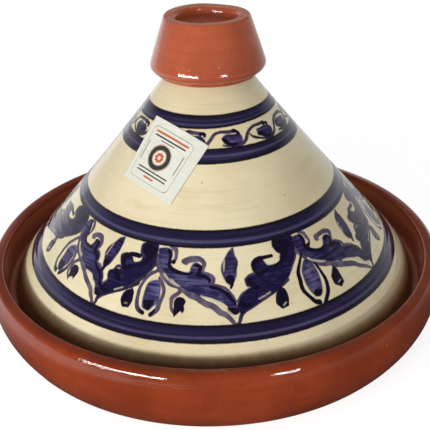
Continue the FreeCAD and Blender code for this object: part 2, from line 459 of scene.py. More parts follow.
class Brush:
    """Signed distances, in millimetres on the lid's face, to the painting on it: below 0 is inside."""

    def __init__(self, turn, slant, radius, outside):
        self.turn, self.slant, self.radius, self.outside = turn, slant, radius, outside
        count = len(turn)
        self.layers = {name: np.full(count, FAR) for name in ("wash", "line", "pool", "bare", "band")}
        for name in ("tone", "ink", "across", "hair", "light"):
            self.layers[name] = np.zeros(count)
        self.hand = random.Random(11)

    def shaken(self, at, shape, amount=0.3):
        """The shape's places as (turn, slant), moved a little, as a hand repeats a stroke."""
        moved = []
        for place in shape:
            turn, slant = at(*place)
            across = self.hand.gauss(0, amount) / slope_place(slant)[0]
            moved.append((turn + across, slant + self.hand.gauss(0, amount)))
        return moved

    def near(self, points):
        """Indices of the vertices within REACH of the points' box."""
        (left, top), (right, bottom) = points.min(axis=0), points.max(axis=0)
        away = np.abs((self.turn - (left + right) / 2 + math.pi) % TAU - math.pi)
        close = self.outside & (away < (right - left) / 2 + REACH / np.maximum(self.radius, 20))
        close &= (self.slant > top - REACH) & (self.slant < bottom + REACH)
        return np.flatnonzero(close)

    def offsets(self, chosen, points):
        """Millimetres across and down from each chosen vertex to each point."""
        across = (points[None, :, 0] - self.turn[chosen, None] + math.pi) % TAU - math.pi
        return across * self.radius[chosen, None], points[None, :, 1] - self.slant[chosen, None]

    def distance(self, chosen, points, half_width):
        """Distance from each chosen vertex to a polyline that is half_width thick at each point."""
        x, y = self.offsets(chosen, points)
        dx, dy = np.diff(x, axis=1), np.diff(y, axis=1)
        length = np.maximum(dx**2 + dy**2, 1e-9)
        share = np.clip(-(x[:, :-1] * dx + y[:, :-1] * dy) / length, 0, 1)
        gap = np.hypot(x[:, :-1] + share * dx, y[:, :-1] + share * dy)
        thick = half_width[None, :-1] * (1 - share) + half_width[None, 1:] * share
        return (gap - thick).min(axis=1)

    def keep(self, layer, chosen, distance, **companions):
        """Joins a shape to a layer; companions are layers that take a value where it is the nearest."""
        nearer = distance < self.layers[layer][chosen]
        for name, value in companions.items():
            self.layers[name][chosen[nearer]] = np.broadcast_to(value, len(chosen))[nearer]
        self.layers[layer][chosen[nearer]] = distance[nearer]

    def stroke(self, at, shape, width, ink=0.85, ends=(0.8, 0.5), layer="line", shake=0.3):
        """One brush stroke; ends are its width at both ends as shares of width."""
        points = smooth_curve(self.shaken(at, shape, shake))
        share = np.linspace(0, 1, len(points))
        swell = 1 - (1 - ends[0]) * (1 - share) ** 4 - (1 - ends[1]) * share**4
        swell *= 1 + 0.12 * np.sin(share * 9 + self.hand.random() * 6)
        width *= 1 + self.hand.uniform(-0.1, 0.1)
        chosen = self.near(points)
        distance = self.distance(chosen, points, width / 2 * swell)
        if layer == "line" and ink <= DARKEST_LINE:
            self.keep("line", chosen, distance, ink=ink)
        else:
            self.keep("pool" if layer == "line" else layer, chosen, distance)

    def fill(self, at, shape, tone=None):
        """A shape filled with wash of one tone, or without a tone as a dark pool."""
        points = smooth_curve(self.shaken(at, shape), closed=True)
        chosen = self.near(points)
        distance = self.distance(chosen, points, np.zeros(len(points)))
        x, y = self.offsets(chosen, points)
        rises = (y[:, :-1] > 0) != (y[:, 1:] > 0)
        span = np.where(np.abs(y[:, 1:] - y[:, :-1]) < 1e-9, 1e-9, y[:, 1:] - y[:, :-1])
        crossing = x[:, :-1] - y[:, :-1] * (x[:, 1:] - x[:, :-1]) / span
        inside = (rises & (crossing > 0)).sum(axis=1) % 2 == 1
        distance = np.where(inside, -distance, distance)
        if tone is None:
            self.keep("pool", chosen, distance)
        else:
            self.keep("wash", chosen, distance, tone=tone)

    def band(self, top, bottom, top_waves, bottom_waves, light, line):
        """A band round the lid; light is how pale its pale line is, line (-1 to 1) where it runs. The pale
        line is partly thin paint and partly a painted sheen of the glaze.
        """
        high = top + harmonics(self.turn, top_waves)
        low = bottom + harmonics(self.turn, bottom_waves)
        middle, half = (high + low) / 2, (low - high) / 2
        chosen = np.flatnonzero(self.outside)
        across = ((self.slant - middle) / half)[chosen]
        distance = (np.abs(self.slant - middle) - half)[chosen]
        self.keep("band", chosen, distance, across=across, hair=across - line, light=light)


FRIEZE_TOP = 96.2
# Where the leaves' tips meet below and part above, in degrees from the front.
VALLEYS = [-38.6, 5.9, 58.8, 111, 162.5, 214, 267]
PEAKS = [-20.6, 30.6, 83.6, 137, 188.5, 241, 300.5]

# A leaf's places are (share of the way from its peak to its valley, millimetres below the frieze's top).
# A stroke is (places, width, ink).
FALLING_BODY = [
    (.01, 3), (.05, 2.1), (.1, 1.6), (.17, 2.1), (.19, 4.3), (.2, 6.7), (.18, 8.8), (.19, 11.3),
    (.22, 12.9), (.29, 14.5), (.39, 15.1), (.45, 14.1), (.47, 12.4), (.49, 10), (.53, 9), (.58, 9.6),
    (.61, 11.6), (.61, 14.2), (.66, 15), (.71, 16.5), (.74, 17.9), (.73, 19.3), (.72, 21.3), (.77, 22.2),
    (.84, 23.7), (.92, 25.1), (.97, 26.6), (.99, 29.6), (1.02, 32.8), (1.04, 36), (1.02, 37.9),
    (.99, 38.3), (.95, 37), (.92, 34.9), (.87, 32.5), (.82, 30.7), (.74, 28.9), (.65, 27.7), (.59, 27.5),
    (.52, 26.5), (.44, 25.2), (.38, 23.7), (.33, 22.2), (.26, 20.2), (.19, 18.3), (.11, 15.2),
    (.05, 12.1), (.02, 8.2), (0, 4.8),
]
FALLING_STROKES = [
    ([(.15, 1), (.23, 2.1), (.26, 4.6), (.26, 7.5), (.22, 10)], 2.3, .45),
    ([(.23, 9.2), (.22, 10)], 2.3, .95),
    ([(.4, 9.3), (.38, 8.3), (.39, 7.3), (.45, 7), (.52, 6.6), (.59, 7.1), (.64, 9), (.64, 11.9),
      (.62, 14.2)], 3.4, .4),
    ([(.61, 15), (.67, 15.3), (.73, 16.8), (.76, 18.8), (.74, 21.3)], 2.3, .45),
    ([(.73, 21.3), (.82, 22.3), (.9, 23.9), (.94, 26), (.98, 29), (1.02, 32)], 2.6, .45),
    ([(0, 7.5), (.02, 10.6), (.08, 14.8), (.15, 18.5), (.24, 21.4), (.32, 23.4), (.41, 25), (.48, 27.1),
      (.57, 29.5), (.66, 31.7), (.75, 33.7), (.83, 36.3), (.9, 39.3), (.95, 42.3),
      (.98, 44.8)], 3.6, .38),
    ([(.15, 2.8), (.18, 5.6), (.17, 9.1), (.2, 11.9), (.27, 14.1), (.36, 15.5), (.45, 15.3),
      (.51, 14.3)], 2.3, .9),
    ([(.52, 10.2), (.58, 10.9), (.6, 13), (.56, 15.9), (.64, 16.4), (.71, 18.2), (.71, 20.4)], 2.3, .85),
    ([(.73, 22.7), (.83, 24.3), (.92, 26.5), (.97, 30), (1.02, 33.6)], 2.3, .9),
    ([(.94, 35.8), (.98, 37.1), (1.02, 37.3)], 3.7, 1),
]
FALLING_BARE = [
    ([(.13, 17), (.2, 19.4), (.28, 21.5), (.36, 23.2)], 1.4),
    ([(.61, 28), (.69, 29), (.77, 30.6), (.84, 32.7), (.9, 35.7), (.95, 38.7), (.99, 40.8)], 1.3),
]
RISING_BODIES = [
    [
        (-.03, 1.4), (-.02, 6.9), (.01, 10.9), (.07, 15.1), (.15, 19), (.24, 23.4), (.34, 26.4),
        (.46, 29.1), (.58, 31.4), (.72, 34), (.83, 36.4), (.89, 38.6), (.94, 39.4), (.96, 34.3),
        (.96, 31.5), (.93, 29.3), (.86, 26.6), (.77, 24.8), (.77, 24.8), (.82, 23.1), (.84, 21),
        (.82, 19.1), (.76, 18), (.68, 17.3), (.68, 17.3), (.71, 14.8), (.71, 12.2), (.68, 10.1), (.61, 9),
        (.54, 10.1), (.51, 11.6), (.48, 13.9), (.45, 13.9), (.35, 13.8), (.28, 12.7), (.25, 10.7),
        (.24, 8.9), (.28, 7.3), (.32, 5.1), (.33, 2.7), (.29, 0),
    ],
    [
        (.05, -.2), (0, 4.8), (.01, 9.5), (.07, 14.6), (.15, 17.9), (.26, 22.1), (.42, 26.8), (.62, 31),
        (.83, 35.5), (.92, 38.4), (.96, 40.5), (.99, 35.5), (.99, 32.4), (.89, 28.1), (.89, 28.1),
        (.95, 23.7), (.89, 21.6), (.68, 19.6), (.68, 19.6), (.77, 14.6), (.8, 11.1), (.7, 9.4), (.6, 9.6),
        (.53, 11), (.5, 13), (.41, 13.4), (.34, 11.4), (.33, 9.5), (.4, 6.3), (.39, 2.7), (.27, .2),
    ],
]
RISING_STROKES = [
    ([(.38, 9.3), (.51, 9), (.62, 9.6), (.69, 11.8), (.69, 14.6), (.66, 17.2)], 3, .9),
    ([(.29, 1.2), (.32, 4.4), (.26, 7.3), (.21, 9.3)], 2.8, .9),
    ([(.79, 21), (.74, 23.7), (.66, 25.9)], 3.6, .95),
    ([(.66, 18), (.57, 17), (.49, 15.9)], 3, .9),
    ([(.69, 17.9), (.77, 18.8), (.82, 20.8), (.79, 23.2), (.75, 25.2)], 2.4, .6),
    ([(-.01, 7.4), (.04, 12.3), (.14, 17.4), (.25, 22.1), (.37, 25.9)], 2.5, .7),
    ([(.27, 24.3), (.39, 27.4), (.54, 30), (.69, 32.8), (.81, 35.4), (.89, 37.4), (.94, 40), (.97, 42.7),
      (1, 44.8)], 2.8, .75),
    ([(.96, 31.7), (.89, 28.1), (.78, 25.5)], 2.2, .45),
    ([(.93, 33.3), (.87, 34.5), (.79, 34.1)], 3.3, 1),
]
RISING_POOL = [
    (.2, 1.6), (.1, 1.8), (.04, 4.8), (.1, 8.5), (.17, 11.6), (.26, 14.6), (.38, 15.9), (.48, 15.2),
    (.38, 14.2), (.27, 12.6), (.24, 9.4), (.29, 5.2), (.28, 2),
]
RISING_BARE = [([(.53, 28.9), (.61, 30.3), (.71, 32)], .9)]
# Small shapes are (millimetres to the right of their middle, millimetres below the frieze's top).
BUD_BODY = [
    (3.4, .8), (3.4, .8), (1, 2.9), (-1.5, 5.8), (-3.4, 9.4), (-4, 13.3), (-3.4, 17.3), (-1.9, 20.2),
    (-.2, 22), (1.2, 21.8), (2.8, 19.6), (3.9, 16.6), (4.6, 12), (4.5, 7.8), (4, 3.8),
]
BUD_CORE = [(-1.8, 17.2), (.3, 16.5), (2.3, 17.7), (2.1, 20.2), (.3, 21.6), (-1.5, 19.8)]
BUD_TAIL = [(.7, 21.6), (.1, 24)]
BUD_PALE = [(-1.6, 7.2), (-2.4, 11.1), (-2.5, 15)]
BUD_DARK = [(3.6, 5), (3.9, 10.5), (3, 15.6)]
SEED_OVAL = [
    (2.8, 20.2), (-.5, 21.9), (-3, 24.6), (-3.9, 28.9), (-3.5, 32.9), (-2.9, 36.8), (-.9, 38.7),
    (1.5, 38.6), (2.9, 36.6), (4.6, 34.3), (5.9, 31.8), (6.2, 27.7), (5.4, 23.8), (4, 20.8),
]
SEED_CORE = [(-3.4, 33.2), (-.4, 32.9), (3.3, 32.8), (2.8, 36.4), (1.5, 38.3), (-.6, 38.7), (-2.6, 36.7)]
SEED_HUSKS = [
    ([(2.2, 15), (1.2, 15.8), (-2.5, 18.7), (-5.7, 24), (-6.8, 30), (-6.4, 35.7), (-4.9, 38.9),
      (-2.3, 40.7)], 2.4),
    ([(3.4, 19.2), (6, 22.1), (7.4, 25.9), (7.8, 29.9), (7.4, 33.4), (5.7, 36.9), (3, 40.3)], 2.3),
]
KERNEL_OVAL = [
    (3.4, 15.9), (-.2, 17.7), (-2.5, 21.9), (-3.9, 27.6), (-3.4, 32.7), (-1.8, 36.9), (.5, 39.6),
    (2.6, 39.7), (4.8, 38.1), (6.2, 34.3), (7, 28.4), (6.6, 22.7), (5.2, 18.1),
]
KERNEL_CORE = [(-.6, 35.5), (2.2, 35.3), (4.9, 36.5), (3.4, 39.2), (.9, 39.4), (-.9, 37.8)]
KERNEL_HUSKS = [
    ([(.9, 13.2), (-2.2, 17.1), (-5.2, 22.4), (-6.4, 27.6), (-6.5, 32.5), (-5.2, 37.2), (-2.5, 40.7),
      (.4, 42.8)], 2.7),
    ([(5.4, 16.5), (8, 20.6), (9.3, 26.1), (10.1, 32), (9.1, 37.8), (6.4, 42.2), (4.2, 44.4)], 2.6),
]
BERRY = [
    (-.3, 28.9), (2.5, 29.6), (4.2, 31.4), (4.4, 33.7), (4.1, 35.9), (3, 38.5), (3, 38.5), (1.8, 36.9),
    (.2, 37.6), (-1.2, 40), (-1.2, 40), (-1.9, 37), (-2.7, 33.7), (-2.2, 30.5),
]
BERRY_STEM = [(2, 25), (-.7, 26.7), (-3.2, 29.5), (-4.1, 32.7), (-3.2, 36), (-1.4, 38.8)]
DROP = [
    (1.4, 27.2), (1.4, 27.2), (-1.5, 29.9), (-3.5, 32.5), (-4.4, 35.4), (-3.4, 37.7), (-1.7, 39.8),
    (.3, 40), (3, 39.2), (3, 39.2), (3.8, 36), (3.8, 32.7), (2.9, 29.5),
]
DROP_BARE = [(-.8, 37.6), (1.3, 36.7)]


def leaf_at(peak, valley):
    """Turns a leaf's place into (turn, slant)."""
    return lambda share, down: (math.radians(peak + share * (valley - peak)), FRIEZE_TOP + down)


def spot_at(middle, lean=0.0):
    """Turns a small shape's place into (turn, slant); lean moves it sideways as it goes down."""
    def place(right, down):
        slant = FRIEZE_TOP + down
        across = right + lean * (down - 12)
        return math.radians(middle) + across / float(slope_place(slant)[0]), slant

    return place


def paint_leaf(brush, at, body, strokes, bare, tone):
    """A curling leaf between a peak and a valley of the frieze."""
    brush.fill(at, body, tone)
    for shape, width, ink in strokes:
        brush.stroke(at, shape, width, ink)
    for shape, width in bare:
        brush.stroke(at, shape, width, layer="bare", shake=0.15)


def paint_bud(brush, at):
    """A bud hanging over a valley."""
    brush.fill(at, BUD_BODY, 0.78)
    brush.fill(at, BUD_CORE)
    brush.stroke(at, BUD_DARK, 2.0, 0.7)
    brush.stroke(at, BUD_PALE, 0.9, layer="bare")
    brush.stroke(at, BUD_TAIL, 2.1, 0.95)


def paint_seed(brush, at, oval, core, husks, ink):
    """A seed between its two husks, under a peak."""
    brush.fill(at, oval, 0.52)
    brush.fill(at, core)
    for shape, width in husks:
        brush.stroke(at, shape, width, ink, ends=(0.6, 1.15))
        brush.stroke(at, shape[-2:], width * 0.8, 0.95, ends=(0.1, 1.3))


def paint_berry(brush, peak, valley, plump):
    """A dark berry below a leaf, with its stem curled round it or as one drop."""
    at = spot_at(peak + (valley - peak) * (0.35 if plump else 0.40))
    if plump:
        brush.fill(at, BERRY)
        brush.stroke(at, BERRY_STEM, 2.3, 0.45)
    else:
        brush.fill(at, DROP)
        brush.stroke(at, DROP_BARE, 0.9, layer="bare")


def paint_frieze(brush):
    """Seven pairs of leaves that meet in a V, with buds, seeds and berries between them."""
    for number, valley in enumerate(VALLEYS):
        peak_right = PEAKS[number]
        peak_left = PEAKS[number - 1] - (360 if number == 0 else 0)
        falling, rising = leaf_at(peak_left, valley), leaf_at(peak_right, valley)
        third = number % 3
        paint_leaf(brush, falling, FALLING_BODY, FALLING_STROKES, FALLING_BARE, (0.75, 0.62, 0.82)[third])
        body = RISING_BODIES[(number + 1) % 2]
        paint_leaf(brush, rising, body, RISING_STROKES, RISING_BARE, (1.05, 1.08, 0.95)[third])
        brush.fill(rising, RISING_POOL)
        paint_bud(brush, spot_at(valley - 1, (-0.16, 0.02, 0.06)[third]))
        if number % 2:
            paint_seed(brush, spot_at(peak_right + 1.2), KERNEL_OVAL, KERNEL_CORE, KERNEL_HUSKS, 0.85)
        else:
            paint_seed(brush, spot_at(peak_right), SEED_OVAL, SEED_CORE, SEED_HUSKS, 0.5)
        paint_berry(brush, peak_left, valley, third != 2)
        paint_berry(brush, peak_right, valley, False)


# The vine is (degrees from its leaf's middle, millimetres below the vine's middle).
VINE_MIDDLE = 34
VINE_LEAF = [
    (-7.3, -.9), (-6, -2.4), (-2.7, -3.4), (1.5, -3.3), (5.4, -2.6), (7.9, -.9), (7.6, 1.6), (5.7, 3.4),
    (2.2, 3.7), (-3, 3.1), (-5.6, 1.4), (-6.8, .3),
]
VINE_STEM = [
    (-7, 2.9), (-3.6, 3.6), (-.3, 4.3), (3.5, 4.2), (7.4, 3.1), (10.6, 1.1), (12.6, -1.6), (15.4, -3.9),
    (19.8, -5), (25, -5.1), (30, -4.9),
]
VINE_HOOK = [(30, -4.9), (33, -4.6), (33.2, -3.2)]
VINE_TICK = [(-13, -.9), (-11.6, .8), (-8.4, 2.4), (-5, 3)]
VINE_SHADE = [(-6.4, -.4), (-4, 1), (-1, 2.6), (3, 3)]


def vine_at(middle):
    """Turns a place of the vine into (turn, slant)."""
    return lambda across, down: (math.radians(middle + across), VINE_MIDDLE + down)


def paint_vine(brush):
    """Fourteen leaves on an S-shaped stem between the two upper bands."""
    middles = [-64.2, -37.5, -12, 15.6, 43.8]
    middles += [65.4 + step * 25.6 for step in range(9)]
    for number, middle in enumerate(middles):
        at = vine_at(middle)
        brush.fill(at, VINE_LEAF, (0.75, 0.6, 0.85, 0.7)[number % 4])
        brush.stroke(at, VINE_STEM, 2.2, 0.68, ends=(0.7, 1.0))
        brush.stroke(at, VINE_HOOK, 2.1, 0.9, ends=(1.0, 0.7))
        brush.stroke(at, VINE_SHADE, 2.4, 0.9)
        if number % 2 == 0:
            brush.stroke(at, VINE_TICK, 1.8, 0.75)


def paint_lid(turn, slant, radius, outside):
    """The painting on the lid, as point attributes by name."""
    brush = Brush(turn, slant, radius, outside)
    brush.band(17.8, 26.2, [(0.4, 1, -60)], [(1.3, 1, -90), (0.3, 3, 0)], 0.6, 0.45)
    brush.band(38.6, 47.9, [(0.3, 3, 60)], [(0.5, 1, -90)], 1.0, 0.0)
    brush.band(86.3, 96.8, [(0.55, 1, -90), (0.15, 4, 20)], [(0.2, 2, 0)], 0.9, 0.3)
    brush.band(139.9, 151.1, [(0.6, 2, 5), (0.2, 3, 60)], [(0.25, 2, 90)], 0.9, 0.35)
    paint_vine(brush)
    paint_frieze(brush)
    return brush.layers


# ---- the knob


def knob_outline():
    """From the middle of the bore, down it, out under the flange, up the skirt and down into the well."""
    bore, ceiling = STUB_RADIUS + 0.2, STUB_TOP + 0.2
    flange, well = SKIRT - 6.6, KNOB_TOP - 21.6
    return outline([
        (0, ceiling, 0, 0),
        (bore, ceiling, 0, 0),
        (bore, NECK, 0, 0),
        (flange, NECK, 0.9, 0),
        (flange + 0.1, NECK + 2.1, 0, 0),
        (flange + 0.7, NECK + 2.6, 0, 0),
        (SKIRT, NECK + 2.6, 4.2, 0.15),
        (SKIRT - 11, KNOB_TOP, 1.5, -0.1),
        (SKIRT - 18.4, KNOB_TOP, 2.6, 0),
        (SKIRT - 21.3, well, 6.5, 0),
        (0, well + 0.8, 0, 0),
    ])


def make_knob():
    """Cup-shaped knob, luted on with a thin uneven flange."""
    profile = knob_outline()
    rings = make_rings(profile, lambda way: 1.1, COLUMNS // 2, lambda way: 1.0)
    points = turned_points(rings)
    way, turn, radius, height = (points[name] for name in ("way", "turn", "radius", "height"))
    top_way = way_along(profile)[np.argmax(profile[:, 1])]
    outside = hump(way, top_way - 30, top_way + 6, 3)
    well = smooth_step(way, top_way + 8, top_way + 14) * smooth_step(radius, 1, 5)
    flange = hump(radius, SKIRT - 8, SKIRT - 5.6, 1.5) * hump(height, NECK + 0.7, NECK + 2.2, 0.8)
    offset = outside * harmonics(turn, [(0.28, 2, 30), (0.16, 3, 100), (0.08, 6, 10)])
    offset += outside * throwing_rings(way, turn, 4.6, 0.025)
    offset += well * throwing_rings(way, turn, 4.2, 0.07)
    offset += flange * (harmonics(turn, [(0.35, 3, 160), (0.25, 8, 20), (0.18, 19, 0)]) - 0.15)
    rim = hump(radius, SKIRT - 17, SKIRT - 12.2, 1.2) * smooth_step(height, KNOB_TOP - 1.6, KNOB_TOP - 0.4)
    # The well, which the material paints lighter as painted light and glazes rougher.
    painted_light_well = smooth_step(way, top_way + 9, top_way + 16)
    attributes = {"way": way, "rim": rim, "painted_light_well": painted_light_well}
    return mesh_object("knob_cup", turned_vertices(points, offset), turned_faces(rings), attributes)


# ---- the paper label

LABEL_HALF = 20.6
# The label's middle: its turn, and its distance down the slope.
LABEL_PLACE = (math.radians(-31.1), 46.9)
LABEL_TURN = math.radians(-15.5)
LEAN = math.atan2(SHOULDER[0] - NECK_RADIUS, NECK - SHOULDER[1])


def lid_place(turn, slant, lift):
    """Places on the lid's outer face, lifted off it."""
    radius, height = slope_place(slant)
    ahead = slope_place(np.asarray(slant) + 1)
    down = np.stack([ahead[0] - radius, ahead[1] - height])
    down /= np.hypot(*down)
    lift = lift + lid_wobble(turn, slant)
    radius, height = radius - lift * down[1], height + lift * down[0]
    return np.stack([radius * np.sin(turn), -radius * np.cos(turn), height], 1)


def label_place(x, y, lift):
    """A flat sheet's point (x, y) wrapped round the cone without stretching."""
    right = x * math.cos(LABEL_TURN) - y * math.sin(LABEL_TURN)
    up = x * math.sin(LABEL_TURN) + y * math.cos(LABEL_TURN)
    apex = NECK_RADIUS / math.sin(LEAN)
    below = LABEL_PLACE[1] + apex - up
    turn = LABEL_PLACE[0] + np.arctan2(right, below) / math.sin(LEAN)
    return lid_place(turn, np.hypot(right, below) - apex, lift)


def box_gap(x, y, middle, half, corner=0.0):
    """Signed distance to a rectangle with rounded corners."""
    past_x = np.abs(x - middle[0]) - half[0] + corner
    past_y = np.abs(y - middle[1]) - half[1] + corner
    outer = np.hypot(np.maximum(past_x, 0), np.maximum(past_y, 0))
    return outer + np.minimum(np.maximum(past_x, past_y), 0) - corner


def rules_gap(x, y, rules):
    """Signed distance to plain rules (left, right, height, thickness)."""
    gaps = []
    for left, right, height, thick in rules:
        gaps.append(box_gap(x, y, ((left + right) / 2, height), ((right - left) / 2, thick / 2)))
    return np.minimum.reduce(gaps)


def star_gap(x, y, radius):
    """Signed distance to an eight-pointed star made of two squares."""
    side = radius / math.sqrt(2)
    turned_x, turned_y = (x - y) / math.sqrt(2), (x + y) / math.sqrt(2)
    straight = box_gap(x, y, (0, 0), (side, side))
    return np.minimum(straight, box_gap(turned_x, turned_y, (0, 0), (side, side)))


def label_print(x, y):
    """Signed distances to the label's dark, red and grey print: a frame, a ringed star and plain rules."""
    frame_line = np.abs(box_gap(x, y, (-1.5, -0.6), (15.5, 16.4), 2.8)) - 0.2
    from_star = np.hypot(x + 2.2, y + 0.6)
    ring = np.abs(from_star - 6.3) - 1.45
    star = star_gap(x + 2.2, y + 0.6, 3.5)
    thin_rings = np.minimum(np.abs(from_star - 8.2), np.abs(from_star - 4.5)) - 0.2
    dark = rules_gap(x, y, [(-13.4, 10.4, -10, 0.8), (-13.4, 10.4, -12.1, 0.8), (-13.6, 10.6, 10.8, 0.95)])
    grey = rules_gap(x, y, [(-7.5, 3.5, 8.9, 0.6)])
    sides = np.minimum(box_gap(x, y, (-15.2, 0), (0.28, 6.4)), box_gap(x, y, (11.9, 1), (0.28, 6.2)))
    red = np.minimum(rules_gap(x, y, [(-14.3, 11.3, 13.2, 1.3), (-5.8, 2.2, -14.3, 1.1)]), thin_rings)
    red = np.minimum(red, np.maximum(star, 1.1 - from_star))
    grey = np.minimum(grey, np.minimum(frame_line, sides))
    return {"dark": np.minimum(ring, dark), "red": red, "grey": grey}


def make_label():
    """Square paper label wrapped on the cone, its corners a little off the glaze."""
    count = 97
    steps = np.linspace(-LABEL_HALF, LABEL_HALF, count)
    x, y = (part.ravel() for part in np.meshgrid(steps, steps))
    corner = np.hypot(np.maximum(np.abs(x) - LABEL_HALF + 5, 0), np.maximum(np.abs(y) - LABEL_HALF + 5, 0))
    curl = np.where((x > 0) == (y < 0), 0.35, 0.12) * smooth_step(corner, 1, 7)
    ripple = 0.05 * np.sin(x * 0.42 + 0.7) * np.sin(y * 0.35)
    top = label_place(x, y, 0.36 + curl + ripple)
    bottom = label_place(x, y, 0.24 + curl + ripple)
    index = np.arange(count * count).reshape(count, count)
    cells = np.stack([index[:-1, :-1], index[:-1, 1:], index[1:, 1:], index[1:, :-1]], 2).reshape(-1, 4)
    edge = np.concatenate([index[0], index[1:, -1], index[-1, -2::-1], index[-2:0:-1, 0]])
    after = np.roll(edge, -1)
    size = count * count
    walls = np.stack([edge + size, after + size, after, edge], 1)
    faces = np.vstack([cells, cells[:, ::-1] + size, walls]).tolist()
    gaps = {name: np.concatenate([gap, gap]) for name, gap in label_print(x, y).items()}
    return mesh_object("label_sheet", np.vstack([top, bottom]), faces, gaps)


# ---- materials


class Nodes:
    """Builds the nodes of a material or world with few words. Sizes of patterns are in millimetres."""

    def __init__(self, owner, space="Object"):
        self.owner = owner
        owner.use_nodes = True
        self.tree = owner.node_tree
        self.tree.nodes.clear()
        self.place = self.add("TexCoord").outputs[space]

    def add(self, kind, inputs=None, **settings):
        """A node with its settings; inputs are values or sockets by the input's name or number."""
        node = self.tree.nodes.new("ShaderNode" + kind)
        for name, value in settings.items():
            setattr(node, name, value)
        for name, value in (inputs or {}).items():
            if isinstance(value, bpy.types.NodeSocket):
                self.tree.links.new(value, node.inputs[name])
            else:
                node.inputs[name].default_value = value
        return node

    def axis(self, number):
        return self.add("SeparateXYZ", {0: self.place}).outputs[number]

    def attribute(self, name):
        return self.add("Attribute", attribute_name=name).outputs["Fac"]

    def math(self, operation, first, *rest):
        """The operation over two or more values, from left to right."""
        for value in rest:
            first = self.add("Math", {0: first, 1: value}, operation=operation).outputs[0]
        return first

    def total(self, *values):
        return self.math("ADD", *values)

    def largest(self, *values):
        return self.math("MAXIMUM", *values)

    def times(self, *values):
        return self.math("MULTIPLY", *values)

    def absolute(self, value):
        return self.math("ABSOLUTE", value, 0.0)

    def ramp(self, value, low, high, start=0.0, end=1.0, ease="SMOOTHSTEP"):
        """start below low, end above high, eased in between."""
        inputs = dict(enumerate((value, low, high, start, end)))
        return self.add("MapRange", inputs, interpolation_type=ease).outputs[0]

    def mix(self, share, first, second, blend="MIX"):
        inputs = {0: share, 6: rgba(first), 7: rgba(second)}
        return self.add("Mix", inputs, data_type="RGBA", blend_type=blend).outputs[2]

    def steps(self, value, stops):
        """Colour looked up along stops (place, colour)."""
        node = self.add("ValToRGB", {0: value})
        for place, colour in stops[1:-1]:
            node.color_ramp.elements.new(place).color = rgba(colour)
        node.color_ramp.elements[0].color = rgba(stops[0][1])
        node.color_ramp.elements[-1].color = rgba(stops[-1][1])
        return node.outputs[0]

    def noise(self, size, detail, where=None):
        """Cloudy pattern with features size millimetres wide."""
        inputs = {"Vector": where or self.place, "Scale": 1000 / size, "Detail": detail, "Roughness": 0.55}
        return self.add("TexNoise", inputs).outputs["Fac"]

    def lines(self, size, detail, stretch=0.03):
        """Noise drawn out into long lines round the pot, size millimetres apart."""
        flat = self.add("VectorMath", {0: self.place, 1: (stretch, stretch, 0)}, operation="MULTIPLY")
        up = self.add("CombineXYZ", {2: self.times(self.attribute("way"), MM)})
        where = self.add("VectorMath", {0: flat.outputs[0], 1: up.outputs[0]}, operation="ADD")
        return self.noise(size, detail, where.outputs[0])

    def specks(self, size, share, soft=0.12):
        """1 in small round specks, size millimetres apart; share of them show."""
        cells = self.add("TexVoronoi", {"Vector": self.place, "Scale": 1000 / size}, feature="F1")
        chosen = self.add("SeparateColor", {0: cells.outputs["Color"]})
        near = self.ramp(cells.outputs["Distance"], 0.05, 0.05 + soft, 1, 0)
        return self.times(near, self.ramp(chosen.outputs[0], share, share + 0.02, 1, 0))

    def finish(self, colour, roughness, height, coat=1.0, coat_roughness=0.05, specular=0.0):
        """Principled surface with a glaze coat over it; height is in tenths of a millimetre."""
        relief = self.add("Bump", {"Height": height, "Distance": 0.1 * MM}).outputs[0]
        surface = self.add("BsdfPrincipled", {
            "Base Color": rgba(colour),
            "Roughness": roughness,
            "Coat Weight": coat,
            "Coat Roughness": coat_roughness,
            "Specular IOR Level": specular,
            "Normal": relief,
            "Coat Normal": relief,
        })
        self.add("OutputMaterial", {0: surface.outputs[0]})
        return self.owner


def rgba(colour):
    """A socket as it is; a colour with its alpha."""
    return (*colour, 1) if isinstance(colour, tuple) and len(colour) == 3 else colour


def clay_colour(nodes, warm, dark):
    """Mottled, wheel-lined terracotta colour."""
    lines = nodes.lines(1.6, 4)
    cloud = nodes.noise(38, 4)
    colour = nodes.mix(nodes.ramp(cloud, 0.3, 0.7), dark, warm)
    colour = nodes.mix(nodes.ramp(lines, 0.42, 0.72, 0, 0.35), colour, dark)
    grain = nodes.noise(1.1, 2)
    colour = nodes.mix(nodes.ramp(grain, 0.55, 0.75, 0, 0.22), colour, tuple(c * 1.5 for c in warm))
    colour = nodes.mix(nodes.times(nodes.specks(2.6, 0.25), 0.6), colour, tuple(c * 0.35 for c in dark))
    return nodes.mix(nodes.times(nodes.specks(6, 0.12, 0.07), 0.5), colour, (0.6, 0.42, 0.28))


def clay_height(nodes):
    """Relief of glazed, wheel-turned clay, in tenths of a millimetre."""
    lines = nodes.lines(1.3, 3)
    broad = nodes.lines(5, 3, 0.12)
    peel = nodes.noise(2.2, 2)
    return nodes.total(nodes.times(lines, 0.5), nodes.times(broad, 1.3), nodes.times(peel, 0.5))


